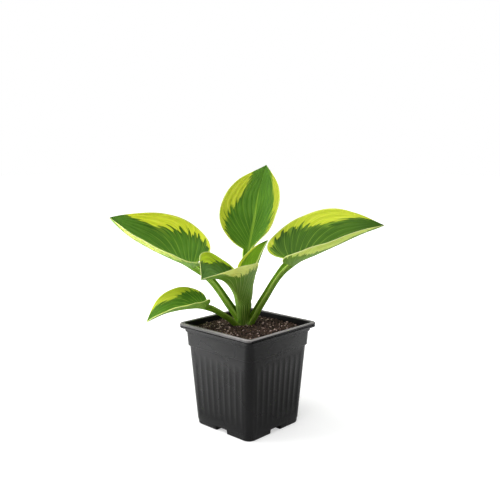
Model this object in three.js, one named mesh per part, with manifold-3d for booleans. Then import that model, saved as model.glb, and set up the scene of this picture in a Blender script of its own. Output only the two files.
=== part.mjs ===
// A potted hosta: a square nursery pot filled with potting soil, and a young
// variegated hosta of six leaves that grow from one crown.
// Millimetres, +Z up. The origin is the middle of the pot's foot, and the pot
// is square to X and Y.

import * as THREE from 'three';
import { mergeVertices } from 'three/addons/utils/BufferGeometryUtils.js';
import Module from 'manifold-3d';

const wasm = await Module();
wasm.setup();

// ---------------------------------------------------------------- driving dimensions

const RIM_HALF = 45; // half the pot's width over its rim
const POT_HEIGHT = 95;
const RIM_HEIGHT = 4.6; // the turned-out lip at the top
const COLLAR_BOTTOM = 74.3; // the collar's lower step
const BODY_LEVELS = [4.7, COLLAR_BOTTOM]; // where the tapering body starts and ends
const BODY_HALVES = [34.9, 39.35]; // half its width there
const CORNER_SEGMENTS = 5;

const CAVITY_FLOOR = 1.8;
const CAVITY_HALVES = [33.0, 38.6]; // half the inside's width at the floor and the rim
const OVERSHOOT = 5; // how far a cutting solid stands out of what it cuts
const CLEARANCE = 0.3; // between pieces that touch on the real plant

const RIB_COUNT = 9; // on each side of the pot
const RIB_PITCH = 7.4;
const RIB_WIDTH = 3.4;
const RIB_DEPTH = 0.45;
const RIB_BOTTOM = 9;
const RIB_TOP = 68;
const RIB_RUNOUT = [3, -2]; // how far a rib slopes in at its foot and its top

const NOTCH = { width: 14, height: 4.3, reach: 12, ceiling: 1.7, wall: 1.7 };
const DRAIN = { radius: 4, offset: 18 };

const SOIL_LEVEL = 89.5; // at the pot's wall
const SOIL_MOUND = 2.5; // higher than that at the crown
const SOIL_GRAIN = 0.55; // height of the lumps
const SOIL_RINGS = 9;
const SOIL_SPOKES = 30;
const SOIL_REACH = 66; // outer radius of the heap before the pot trims it

const CROWN = [-7.3, 4.1, 0]; // where the plant stands, off the pot's own axis
const CROWN_PROFILE = [[9.4, 82], [11.2, 87], [11.4, 92], [10.0, 96], [7.6, 99.5]]; // radius, height
const CROWN_SIDES = 22;
const ROOT_FIT = 1.27; // how much wider a root hole is than its stalk

const BLADE_EDGE = 0.8; // blade thickness at its margin
const BLADE_RIB = 1.7; // and along its midrib
const STALK_EDGE = 1.3;
const STALK_RIB = 2.7;
const PLEAT = 0.3; // height of the sunk veins and the raised bands between them
const HALF_STEPS = 6; // bands across half a blade
const STALK_STEPS = 9;
const BLADE_STEPS = 16;
const TIP_HALF = 0.35; // half the width a blade keeps at its tip

// Each leaf: the heading it grows to from +X, and its midrib from root to tip
// as [reach out from the crown, height, sideways to the left]. stalk is the
// length of the midrib below the blade, halfWidth the blade's, round and
// point the powers that shape its outline towards base and tip, roll its
// twist in degrees at base and tip, lobe how far its basal lobes reach back.
// Each half blade rises from the midrib at rise degrees (base, tip), and
// bends to rim degrees at its margin (base, middle, tip); curl above 1 keeps
// that bend near the margin.
const LEAVES = [
  {
    name: 'leaf_upright', heading: 123, stalk: 75, halfWidth: 34.3, round: 0.66, point: 1.11,
    path: [[9.5, 86, 0], [17.5, 112.5, 3], [31.5, 147.5, 3.5],
      [47, 181.5, 0], [68.5, 209, -1], [90.5, 235, -5]],
    roll: [-16, -4], lobe: 0, curl: 1.4, stalkHalf: 3.5,
    left: { rise: [44, 29], rim: [38, 48, 11] }, right: { rise: [38, 24], rim: [32, 29, 28] },
  },
  {
    name: 'leaf_left', heading: 219, stalk: 72.5, halfWidth: 37.6, round: 0.52, point: 0.94,
    path: [[10.3, 86, 0.5], [13.3, 106, 0], [35.5, 134.5, -1],
      [68, 153.5, 0], [98.5, 171.5, 2], [123.5, 189, 3]],
    roll: [-8.5, -9.5], lobe: 30, curl: 1.8,
    left: { rise: [19, -4], rim: [44, 50, 72] }, right: { rise: [32, 48], rim: [52, 60, 52] },
  },
  {
    name: 'leaf_right', heading: 35, stalk: 72, halfWidth: 40, round: 0.52, point: 1.04,
    path: [[10, 86, 0], [18, 114.5, -1], [37, 143, 0],
      [70, 162.5, 2.5], [102, 178.5, -1.5], [123.5, 184.5, 2.5]],
    roll: [22, 12], lobe: 45, curl: 1.8,
    left: { rise: [20, 39], rim: [28, 49, 39] }, right: { rise: [23, -3], rim: [76, 62, 64] },
  },
  {
    name: 'leaf_front', heading: 279, stalk: 29, halfWidth: 29.3, round: 0.94, point: 0.64,
    path: [[7, 86, 0], [8, 108, 0.5], [9.5, 125, -2.5],
      [16.5, 133, 1], [42, 141, 6.5], [72, 145, 6.5]],
    roll: [-1, -19], lobe: 0, curl: 1, stalkHalf: 7.5, stalkWing: 0.3, channel: [15, 85],
    left: { rise: [42, 27], rim: [110, 60, 55] }, right: { rise: [30, 25], rim: [92, 49, 60] },
  },
  {
    name: 'leaf_inner', heading: 83, stalk: 45, halfWidth: 13.3, round: 0.55, point: 0.94,
    path: [[0, 86, 0], [3, 108, 1], [9.5, 130, 3.5],
      [15, 143, 3], [21.5, 156, 2.2], [29, 166.5, 2]],
    roll: [25, 15], lobe: 0, curl: 1.4, stalkHalf: 3.2,
    left: { rise: [11, 6], rim: [25, 24, 14] }, right: { rise: [50, 45], rim: [125, 84, 76] },
  },
  {
    name: 'leaf_low', heading: 243, stalk: 40, halfWidth: 23.5, round: 0.63, point: 0.86,
    path: [[13.3, 86, 3.2], [19.5, 100, 6.5], [37, 111, 8],
      [55.5, 112, 6], [75, 108.5, 3], [91, 101, -1]],
    roll: [10, 5], lobe: 12, curl: 1.4, stalkHalf: 3.3,
    left: { rise: [19, 16], rim: [15, 5, 22] }, right: { rise: [36, 29], rim: [48, 69, 22] },
  },
];

// ---------------------------------------------------------------- materials

function finish(color, roughness) {
  return new THREE.MeshStandardMaterial({ color, roughness, metalness: 0 });
}

const PLASTIC = finish(0x333336, 0.45);
const PEAT = finish(0x35281f, 0.95);
const STALK_GREEN = finish(0x54781a, 0.5);
const LEAF_GREEN = finish(0x4b7d22, 0.45);

// ---------------------------------------------------------------- solids

/** Makes one solid of a closed geometry whose shared vertices get merged. */
function toSolid(geometry) {
  const bare = new THREE.BufferGeometry();
  bare.setAttribute('position', geometry.getAttribute('position'));
  if (geometry.index) bare.setIndex(geometry.index);
  const merged = mergeVertices(bare, 1e-4);
  return new wasm.Manifold(new wasm.Mesh({
    numProp: 3,
    vertProperties: new Float32Array(merged.getAttribute('position').array),
    triVerts: new Uint32Array(merged.index.array),
  }));
}

/** Gives a solid's surface back as a geometry. */
function toGeometry(solid) {
  const mesh = solid.getMesh();
  const geometry = new THREE.BufferGeometry();
  geometry.setAttribute('position', new THREE.BufferAttribute(mesh.vertProperties, 3));
  geometry.setIndex(new THREE.BufferAttribute(mesh.triVerts, 1));
  geometry.computeVertexNormals();
  return geometry;
}

/** The middle of some points. */
function mean(points) {
  return points.reduce((sum, p) => sum.add(p), new THREE.Vector3()).divideScalar(points.length);
}

/** Skins a stack of closed rings, all with as many points, and caps both ends with fans. */
function skin(rings) {
  const size = rings[0].length;
  const positions = rings.flat().flatMap((p) => [p.x, p.y, p.z]);
  const faces = [];
  for (let level = 0; level + 1 < rings.length; level += 1) {
    for (let k = 0; k < size; k += 1) {
      const a = level * size + k;
      const b = level * size + (k + 1) % size;
      faces.push(a, b, b + size, a, b + size, a + size);
    }
  }
  [0, rings.length - 1].forEach((level) => {
    const centre = positions.length / 3;
    const middle = mean(rings[level]);
    positions.push(middle.x, middle.y, middle.z);
    for (let k = 0; k < size; k += 1) {
      const a = level * size + k;
      const b = level * size + (k + 1) % size;
      if (level === 0) faces.push(centre, b, a);
      else faces.push(centre, a, b);
    }
  });
  const geometry = new THREE.BufferGeometry();
  geometry.setAttribute('position', new THREE.Float32BufferAttribute(positions, 3));
  geometry.setIndex(faces);
  return geometry;
}

/** A square ring with round corners, counterclockwise at height z. */
function squareRing(half, corner, z) {
  const ring = [];
  for (let side = 0; side < 4; side += 1) {
    const [cx, cy] = [[1, 1], [-1, 1], [-1, -1], [1, -1]][side];
    for (let k = 0; k <= CORNER_SEGMENTS; k += 1) {
      const angle = (side + k / CORNER_SEGMENTS) * Math.PI / 2;
      ring.push(new THREE.Vector3(
        cx * (half - corner) + corner * Math.cos(angle),
        cy * (half - corner) + corner * Math.sin(angle),
        z,
      ));
    }
  }
  return ring;
}

/** A solid of square rings, each given as [height, half width, corner radius]. */
function squareStack(levels) {
  return toSolid(skin(levels.map(([z, half, corner]) => squareRing(half, corner, z))));
}

/** A box solid, given by its size and centre. */
function boxSolid(size, centre) {
  const geometry = new THREE.BoxGeometry(...size);
  geometry.translate(...centre);
  return toSolid(geometry);
}

/** Turns a solid by quarter turns about +Z, once for each side of the pot, and joins the four. */
function onFourSides(solid) {
  return [90, 180, 270].reduce((all, turn) => all.add(solid.rotate([0, 0, turn])), solid);
}

// ---------------------------------------------------------------- pot

/** Half the width of the pot's tapering body at a height. */
function bodyHalf(z) {
  return THREE.MathUtils.mapLinear(z, ...BODY_LEVELS, ...BODY_HALVES);
}

/** The outside of the pot: chamfered foot, tapering body, collar, bead and lip. */
function potOutside() {
  const lipBottom = POT_HEIGHT - RIM_HEIGHT;
  return squareStack([
    [0, 33.7, 7],
    [0.9, 34.3, 7.6],
    [BODY_LEVELS[0], BODY_HALVES[0], 8],
    [BODY_LEVELS[1], BODY_HALVES[1], 7],
    [COLLAR_BOTTOM + 0.7, 40.5, 7],
    [86.4, 41.0, 6.6],
    [87.4, 41.9, 6.6],
    [lipBottom - 0.2, 42.1, 6.6],
    [lipBottom + 0.3, RIM_HALF - 0.3, 6.2],
    [lipBottom + 1, RIM_HALF, 6],
    [POT_HEIGHT - 1, RIM_HALF, 6],
    [POT_HEIGHT - 0.3, RIM_HALF - 0.4, 5.8],
    [POT_HEIGHT, RIM_HALF - 1.3, 5.2],
  ]);
}

/** The room inside the pot, drawn in by a gap for what fills it, up to a height. */
function potInside(gap, top) {
  const halfAt = (z) => THREE.MathUtils.mapLinear(z, CAVITY_FLOOR, POT_HEIGHT, ...CAVITY_HALVES);
  return squareStack([
    [CAVITY_FLOOR + gap, halfAt(CAVITY_FLOOR) - gap, 6],
    [top, halfAt(top) - gap, 5.4],
  ]);
}

/** The raised housings over the four foot notches, which stand into the pot's room. */
function notchHousings(gap) {
  const { width, height, reach, ceiling, wall } = NOTCH;
  const depth = reach + wall + gap;
  return onFourSides(boxSolid(
    [depth + OVERSHOOT, width + 2 * (wall + gap), height + ceiling + gap],
    [bodyHalf(0) - depth / 2 + OVERSHOOT / 2, 0, (height + ceiling + gap) / 2],
  ));
}

/** The open notches in the middle of each foot edge. */
function notches() {
  const { width, height, reach } = NOTCH;
  return onFourSides(boxSolid(
    [reach + OVERSHOOT, width, height + OVERSHOOT],
    [bodyHalf(0) - (reach - OVERSHOOT) / 2, 0, (height - OVERSHOOT) / 2],
  ));
}

/** One end of a rib: its profile at a height, sloping in towards the end. */
function ribEnd(y, z, runout) {
  const along = y * bodyHalf(z) / bodyHalf(RIB_TOP);
  const profile = [[-1, -RIB_WIDTH / 2, 0], [RIB_DEPTH, -RIB_WIDTH / 4, runout],
    [RIB_DEPTH, RIB_WIDTH / 4, runout], [-1, RIB_WIDTH / 2, 0]];
  return profile.map(([out, across, up]) => new THREE.Vector3(
    bodyHalf(z + up) + out,
    along + across,
    z + up,
  ));
}

/** The shallow upright ribs on the body. */
function ribs() {
  const places = Array.from({ length: RIB_COUNT }, (_, k) => (k - (RIB_COUNT - 1) / 2) * RIB_PITCH);
  const row = places.map((y) => toSolid(skin([
    ribEnd(y, RIB_BOTTOM, RIB_RUNOUT[0]),
    ribEnd(y, RIB_TOP, RIB_RUNOUT[1]),
  ])));
  return onFourSides(row.reduce((all, one) => all.add(one)));
}

/** The drain holes through the floor, one towards each corner. */
function drainHoles() {
  const hole = new THREE.CylinderGeometry(DRAIN.radius, DRAIN.radius, 2 * OVERSHOOT, 16);
  hole.rotateX(Math.PI / 2);
  hole.translate(DRAIN.offset, DRAIN.offset, 0);
  return onFourSides(toSolid(hole));
}

function pot() {
  const room = potInside(0, POT_HEIGHT + OVERSHOOT).subtract(notchHousings(0));
  return potOutside().add(ribs()).subtract(room).subtract(notches()).subtract(drainHoles());
}

// ---------------------------------------------------------------- soil and crown

/** A repeatable stream of numbers from 0 to 1. */
function seeded(seed) {
  let state = seed;
  return () => {
    state = (state * 1664525 + 1013904223) % 4294967296;
    return state / 4294967296;
  };
}

/** A ring of the heap about the crown, its share of the way out. */
function heapRing(share, heightAt) {
  return Array.from({ length: SOIL_SPOKES }, (_, k) => {
    const angle = k / SOIL_SPOKES * Math.PI * 2;
    return new THREE.Vector3(
      SOIL_REACH * share * Math.cos(angle),
      SOIL_REACH * share * Math.sin(angle),
      heightAt(share),
    );
  });
}

/** The soil as heaped up: lumpy, and a little higher at the crown. */
function heap() {
  const random = seeded(7);
  const lumpy = (share) => SOIL_LEVEL + SOIL_MOUND * (1 - share) + (2 * random() - 1) * SOIL_GRAIN;
  const shares = Array.from({ length: SOIL_RINGS }, (_, k) => 1 - k / SOIL_RINGS);
  return toSolid(skin([heapRing(1, () => -OVERSHOOT), ...shares.map((share) => heapRing(share, lumpy))]));
}

function soil() {
  return heap()
    .subtract(crownBody(CLEARANCE))
    .subtract(rootHoles())
    .translate(CROWN)
    .intersect(potInside(CLEARANCE, POT_HEIGHT + OVERSHOOT))
    .subtract(notchHousings(CLEARANCE));
}

/** The crown's outer form, grown all round by a gap. */
function crownBody(gap) {
  const wall = CROWN_PROFILE.map(([radius, z]) => new THREE.Vector2(radius + gap, z));
  const low = new THREE.Vector2(0, CROWN_PROFILE[0][1] - gap);
  const high = new THREE.Vector2(0, CROWN_PROFILE.at(-1)[1] + gap);
  wall[0].y = low.y;
  wall.at(-1).y = high.y;
  const geometry = new THREE.LatheGeometry([low, ...wall, high], CROWN_SIDES);
  geometry.rotateX(Math.PI / 2);
  return toSolid(geometry);
}

/** All the plain holes that the leaf stalks stand in. */
function rootHoles() {
  return LEAVES.map(rootHole).reduce((all, one) => all.add(one));
}

/** The largest body of a solid, without the loose scraps that a cut leaves. */
function largest(solid) {
  return solid.decompose().reduce((best, body) => (body.volume() > best.volume() ? body : best));
}

function crown() {
  return largest(crownBody(0).subtract(rootHoles()));
}

// ---------------------------------------------------------------- leaves

/** The value of a curve through three heights at its start, middle and end. */
function through([start, middle, end], t) {
  return start + (4 * middle - 3 * start - end) * t + (2 * end + 2 * start - 4 * middle) * t * t;
}

/** The midrib of a leaf that grows towards +X, as a curve. */
function midrib(leaf) {
  const points = leaf.path.map(([reach, height, aside]) => new THREE.Vector3(reach, aside, height));
  const curve = new THREE.CatmullRomCurve3(points, false, 'catmullrom', 0.5);
  return { curve, length: curve.getLength() };
}

/** Place and directions of a leaf's cross-section at a share of its midrib. */
function sectionFrame(rib, leaf, share, onBlade) {
  const along = rib.curve.getTangentAt(share);
  const across = new THREE.Vector3(0, 1, 0).addScaledVector(along, -along.y).normalize();
  const up = along.clone().cross(across);
  const roll = THREE.MathUtils.lerp(leaf.roll[0], leaf.roll[1], onBlade) * Math.PI / 180;
  across.applyAxisAngle(along, roll);
  up.applyAxisAngle(along, roll);
  return { centre: rib.curve.getPointAt(share), along, across, up };
}

/** One cross-section of a leaf: its upper points from right margin to left, then the lower ones. */
function leafSection(rib, leaf, share) {
  const { smoothstep, lerp, clamp, degToRad } = THREE.MathUtils;
  const start = leaf.stalk / rib.length;
  const onBlade = clamp((share - start) / (1 - start), 0, 1);
  const { centre, along, across, up } = sectionFrame(rib, leaf, share, onBlade);
  const widest = leaf.round / (leaf.round + leaf.point);
  const outline = (onBlade / widest) ** leaf.round * ((1 - onBlade) / (1 - widest)) ** leaf.point;
  const wing = 1 + (leaf.stalkWing ?? 0.5) * smoothstep(share, start - 0.12, start);
  const stalk = (leaf.stalkHalf ?? 4.2) * wing * (1 - smoothstep(share, start, start + 0.3));
  const half = leaf.halfWidth * outline + stalk + TIP_HALF;
  const opened = smoothstep(share, start - 0.04, start + 0.1);
  const [channelRise, channelRim] = leaf.channel ?? [30, 80];
  const edge = lerp(STALK_EDGE, BLADE_EDGE, opened);
  const keel = lerp(STALK_RIB, BLADE_RIB, opened) * lerp(1, 0.6, onBlade);
  const upper = [];
  const lower = [];
  [[leaf.right, -1], [leaf.left, 1]].forEach(([form, sign]) => {
    const rise = lerp(channelRise, lerp(...form.rise, onBlade), opened);
    const rim = lerp(channelRim, through(form.rim, onBlade), opened);
    const slope = (r) => degToRad(lerp(rise, rim, r ** leaf.curl));
    let x = 0;
    let y = 0;
    const halfUpper = [];
    const halfLower = [];
    for (let k = 0; k <= HALF_STEPS; k += 1) {
      const r = k / HALF_STEPS;
      if (k > 0) {
        const middle = (slope(r) + slope((k - 1) / HALF_STEPS)) / 2;
        x += half / HALF_STEPS * Math.cos(middle);
        y += half / HALF_STEPS * Math.sin(middle);
      }
      const tilt = k === 0 ? 0 : slope(r);
      const normal = up.clone()
        .multiplyScalar(Math.cos(tilt))
        .addScaledVector(across, -sign * Math.sin(tilt));
      const vein = k === 0 || k === HALF_STEPS ? 0 : PLEAT * (k % 2 ? 1 : -1) * opened * outline;
      const back = leaf.lobe * outline * (1 - onBlade) ** 6 * r * r;
      const point = centre.clone()
        .addScaledVector(across, sign * x)
        .addScaledVector(up, y)
        .addScaledVector(along, -back)
        .addScaledVector(normal, vein);
      const thickness = edge + (keel - edge) * (1 - r * r) ** 2;
      halfUpper.push(point);
      halfLower.push(point.clone().addScaledVector(normal, -thickness));
    }
    if (sign < 0) {
      upper.push(...halfUpper.reverse());
      lower.push(...halfLower.reverse());
    } else {
      upper.push(...halfUpper.slice(1));
      lower.push(...halfLower.slice(1));
    }
  });
  return { upper, lower };
}

/** Joins a leaf's sections into one closed surface, split alike on both faces. */
function leafGeometry(leaf) {
  const rib = midrib(leaf);
  const start = leaf.stalk / rib.length;
  const shares = [
    ...Array.from({ length: STALK_STEPS }, (_, k) => start * k / STALK_STEPS),
    ...Array.from({ length: BLADE_STEPS + 1 }, (_, k) => start + (1 - start) * (k / BLADE_STEPS) ** 1.25),
  ];
  const sections = shares.map((share) => leafSection(rib, leaf, Math.min(share, 1)));
  const row = sections[0].upper.length;
  const positions = sections.flatMap(({ upper, lower }) => [...upper, ...lower])
    .flatMap((p) => [p.x, p.y, p.z]);
  const upperAt = (i, j) => i * 2 * row + j;
  const lowerAt = (i, j) => upperAt(i, j) + row;
  const faces = [];
  const quad = (a, b, c, d) => faces.push(a, b, c, a, c, d);
  const last = sections.length - 1;
  for (let i = 0; i < last; i += 1) {
    for (let j = 0; j + 1 < row; j += 1) {
      quad(upperAt(i, j), upperAt(i + 1, j), upperAt(i + 1, j + 1), upperAt(i, j + 1));
      faces.push(lowerAt(i, j), lowerAt(i + 1, j + 1), lowerAt(i + 1, j));
      faces.push(lowerAt(i, j), lowerAt(i, j + 1), lowerAt(i + 1, j + 1));
    }
    quad(lowerAt(i, 0), lowerAt(i + 1, 0), upperAt(i + 1, 0), upperAt(i, 0));
    quad(upperAt(i, row - 1), upperAt(i + 1, row - 1), lowerAt(i + 1, row - 1), lowerAt(i, row - 1));
  }
  for (let j = 0; j + 1 < row; j += 1) {
    quad(upperAt(0, j), upperAt(0, j + 1), lowerAt(0, j + 1), lowerAt(0, j));
    quad(lowerAt(last, j), lowerAt(last, j + 1), upperAt(last, j + 1), upperAt(last, j));
  }
  const geometry = new THREE.BufferGeometry();
  geometry.setAttribute('position', new THREE.Float32BufferAttribute(positions, 3));
  geometry.setIndex(faces);
  geometry.computeVertexNormals();
  return geometry;
}

/** The plain hole in the crown that a leaf stalk stands in. */
function rootHole(leaf) {
  const rib = midrib(leaf);
  const rings = [0, 0.04, 0.08, 0.12, 0.16, 0.2].map((share) => {
    const { upper, lower } = leafSection(rib, leaf, share);
    const outline = [...lower, ...upper.slice().reverse()];
    const middle = mean(outline);
    const { across, up, along } = sectionFrame(rib, leaf, share, 0);
    const width = Math.max(...outline.map((p) => Math.abs(p.clone().sub(middle).dot(across))));
    const height = Math.max(...outline.map((p) => Math.abs(p.clone().sub(middle).dot(up))));
    return Array.from({ length: 12 }, (_, k) => {
      const angle = k / 12 * Math.PI * 2;
      return middle.clone()
        .addScaledVector(across, (width * ROOT_FIT + CLEARANCE) * Math.cos(angle))
        .addScaledVector(up, (height * ROOT_FIT + CLEARANCE) * Math.sin(angle))
        .addScaledVector(along, share === 0 ? -CLEARANCE : 0);
    });
  });
  return toSolid(skin(rings)).rotate([0, 0, leaf.heading]);
}

// ---------------------------------------------------------------- the scene

function piece(name, geometry, material) {
  const mesh = new THREE.Mesh(geometry, material);
  mesh.name = name;
  return mesh;
}

/** A leaf, turned to its heading. */
function leafPiece(leaf) {
  const mesh = piece(leaf.name, leafGeometry(leaf), LEAF_GREEN);
  mesh.rotation.z = THREE.MathUtils.degToRad(leaf.heading);
  return mesh;
}

const hosta = new THREE.Group();
hosta.add(piece('crown', toGeometry(crown()), STALK_GREEN), ...LEAVES.map(leafPiece));
hosta.position.set(...CROWN);

const plant = new THREE.Group();
plant.add(
  piece('pot', toGeometry(pot()), PLASTIC),
  piece('soil', toGeometry(soil()), PEAT),
  hosta,
);

export default plant;
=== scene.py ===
"""A potted hosta: the square nursery pot, its potting soil, the crown and six variegated leaves."""

from __future__ import annotations

import logging
import math
import random
from collections.abc import Iterator, Sequence
from contextlib import contextmanager
from dataclasses import dataclass
from enum import Enum
from typing import Any, Union

import bmesh
import bpy
import numpy as np
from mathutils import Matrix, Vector, noise


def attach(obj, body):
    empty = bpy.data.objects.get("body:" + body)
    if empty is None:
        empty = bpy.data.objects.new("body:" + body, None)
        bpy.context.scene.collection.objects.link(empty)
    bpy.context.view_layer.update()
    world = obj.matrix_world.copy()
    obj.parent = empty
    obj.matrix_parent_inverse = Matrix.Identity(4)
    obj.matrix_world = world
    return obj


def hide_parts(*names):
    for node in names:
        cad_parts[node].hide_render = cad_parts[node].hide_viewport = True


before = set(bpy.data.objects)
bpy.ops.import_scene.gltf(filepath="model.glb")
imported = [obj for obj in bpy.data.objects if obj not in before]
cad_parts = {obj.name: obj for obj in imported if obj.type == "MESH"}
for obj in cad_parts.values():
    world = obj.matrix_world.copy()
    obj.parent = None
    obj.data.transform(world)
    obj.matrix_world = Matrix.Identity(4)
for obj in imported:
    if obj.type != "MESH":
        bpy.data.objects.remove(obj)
log = logging.getLogger("potted_hosta")

MM = 0.001
CROWN_PLACE = (-7.3 * MM, 4.1 * MM)  # where the plant stands, off the pot's own axis
LANE_GAP = 5.0  # keeps the noise on a leaf's two halves apart

Piece = bpy.types.Object
Material = bpy.types.Material
Colour = tuple[float, float, float]
Point = tuple[float, float, float]
Triple = tuple[float, float, float]
Pair = tuple[float, float]
Profile = tuple[Pair, ...]


# ---- working by hand


def release() -> None:
    """Deselects everything, so that an operator only acts on what is made next."""
    bpy.ops.object.select_all(action="DESELECT")


def pick(piece: Piece) -> None:
    """Makes one piece the selected and active one.

    Args:
        piece: The object to work on next.
    """
    release()
    piece.select_set(True)
    bpy.context.view_layer.objects.active = piece


@contextmanager
def at_the_bench(piece: Piece) -> Iterator[None]:
    """Edit mode on one piece, with all of it selected at the start.

    Args:
        piece: The mesh object to edit.
    """
    pick(piece)
    bpy.ops.object.mode_set(mode="EDIT")
    bpy.ops.mesh.select_all(action="SELECT")
    yield
    bpy.ops.object.mode_set(mode="OBJECT")


def face_outwards() -> None:
    """Selects all of the piece on the bench and turns its faces outwards."""
    bpy.ops.mesh.select_all(action="SELECT")
    bpy.ops.mesh.normals_make_consistent(inside=False)


def named(name: str) -> Piece:
    """Names the primitive that was just added.

    Args:
        name: The piece's name.

    Returns:
        The active object.
    """
    piece = bpy.context.object
    piece.name = name
    piece.data.name = name
    return piece


def carry_out(piece: Piece, kind: str, **settings: Any) -> None:
    """Adds a modifier and applies it at once.

    Args:
        piece: The object that gets it.
        kind: The modifier's type, such as SOLIDIFY.
        settings: Its settings by name.
    """
    pick(piece)
    bpy.ops.object.modifier_add(type=kind)
    modifier = piece.modifiers[-1]
    for key, value in settings.items():
        setattr(modifier, key, value)
    bpy.ops.object.modifier_apply(modifier=modifier.name)


def soften(piece: Piece, degrees: float) -> None:
    """Shades a piece smooth, except across edges sharper than an angle."""
    pick(piece)
    bpy.ops.object.shade_smooth_by_angle(angle=math.radians(degrees))


def gather(name: str, parts: Sequence[Piece]) -> Piece:
    """Joins parts into one piece.

    Args:
        name: The joined piece's name.
        parts: The objects to join.

    Returns:
        The joined object.
    """
    release()
    for part in parts:
        part.select_set(True)
    bpy.context.view_layer.objects.active = parts[0]
    bpy.ops.object.join()
    return named(name)


def dress(piece: Piece, *materials: Material) -> None:
    """Gives a piece its materials, in place of any that it has.

    Args:
        piece: The mesh object.
        materials: Its materials, in the order of its slots.
    """
    piece.data.materials.clear()
    for material in materials:
        piece.data.materials.append(material)


def settle(piece: Piece, node: str | None) -> None:
    """Rests a finished piece in the plant's frame, in place of a plain solid.

    Args:
        piece: The finished object.
        node: The solid it stands for, or None.
    """
    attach(piece, "root")
    if node:
        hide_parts(node)
    log.info("%s: %d faces", piece.name, len(piece.data.polygons))


# ---- sums on rows of values


def blend(start: Any, end: Any, share: Any) -> Any:
    """The value at a share of the way from start to end."""
    return start + (end - start) * share


def ease(low: float, high: float, value: Any) -> Any:
    """A smooth step from 0 at low to 1 at high."""
    share = np.clip((value - low) / (high - low), 0.0, 1.0)
    return share * share * (3 - 2 * share)


def read_off(places: np.ndarray, gone: np.ndarray, values: np.ndarray) -> np.ndarray:
    """The vectors found at some places along a curve, where gone says how far along each lies."""
    return np.stack([np.interp(places, gone, values[:, axis]) for axis in range(3)], -1)


def unit(vectors: np.ndarray) -> np.ndarray:
    """Vectors of the same directions and of length 1."""
    return vectors / np.linalg.norm(vectors, axis=-1, keepdims=True)


def run_up(steps: np.ndarray) -> np.ndarray:
    """Each row's running sum, from 0."""
    return np.concatenate([np.zeros((len(steps), 1)), np.cumsum(steps, 1)], 1)


# ---- shader wiring


def srgb(red: int, green: int, blue: int) -> Colour:
    """A colour as a shader needs it, which is linear.

    Args:
        red: The red that it shows on screen, from 0 to 255.
        green: The green.
        blue: The blue.

    Returns:
        The linear colour, from 0 to 1.
    """
    return tuple(
        v / 12.92 if v <= 0.04045 else ((v + 0.055) / 1.055) ** 2.4
        for v in (red / 255, green / 255, blue / 255)
    )


Feed = Union["Wire", float, tuple[float, ...]]


class Wire:
    """A shader value that is worked with like a number."""

    def __init__(self, bench: Bench, socket: bpy.types.NodeSocket) -> None:
        """Wraps one output socket.

        Args:
            bench: The material's bench, which makes the nodes.
            socket: The output socket.
        """
        self.bench = bench
        self.socket = socket

    def _with(self, operation: str, *values: Feed) -> Wire:
        """A Math node on some values, in their order."""
        return self.bench.node("ShaderNodeMath", {"operation": operation}, dict(enumerate(values)))

    def __add__(self, other: Feed) -> Wire:
        """This plus another."""
        return self._with("ADD", self, other)

    __radd__ = __add__

    def __sub__(self, other: Feed) -> Wire:
        """This less another."""
        return self._with("SUBTRACT", self, other)

    def __rsub__(self, other: Feed) -> Wire:
        """Another less this."""
        return self._with("SUBTRACT", other, self)

    def __mul__(self, other: Feed) -> Wire:
        """This times another."""
        return self._with("MULTIPLY", self, other)

    __rmul__ = __mul__

    def __pow__(self, other: Feed) -> Wire:
        """This to a power."""
        return self._with("POWER", self, other)

    def __abs__(self) -> Wire:
        """This without its sign."""
        return self._with("ABSOLUTE", self)

    def __gt__(self, other: Feed) -> Wire:
        """1 where this is the greater, else 0."""
        return self._with("GREATER_THAN", self, other)

    def zigzag(self) -> Wire:
        """A line that climbs from 0 to 1 and falls back, once a unit."""
        return self._with("PINGPONG", self * 2.0, 1.0)

    def wave(self) -> Wire:
        """A wave between 0 and 1 with a crest at each whole number."""
        return self._with("COSINE", self * (2 * math.pi)) * 0.5 + 0.5

    def step(self, low: float, high: float) -> Wire:
        """A smooth step.

        Args:
            low: Where it is 0.
            high: Where it is 1, which may lie below low.

        Returns:
            The step, from 0 to 1.
        """
        return self.bench.node(
            "ShaderNodeMapRange",
            {"interpolation_type": "SMOOTHSTEP"},
            {"Value": self, "From Min": low, "From Max": high},
        )


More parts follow.
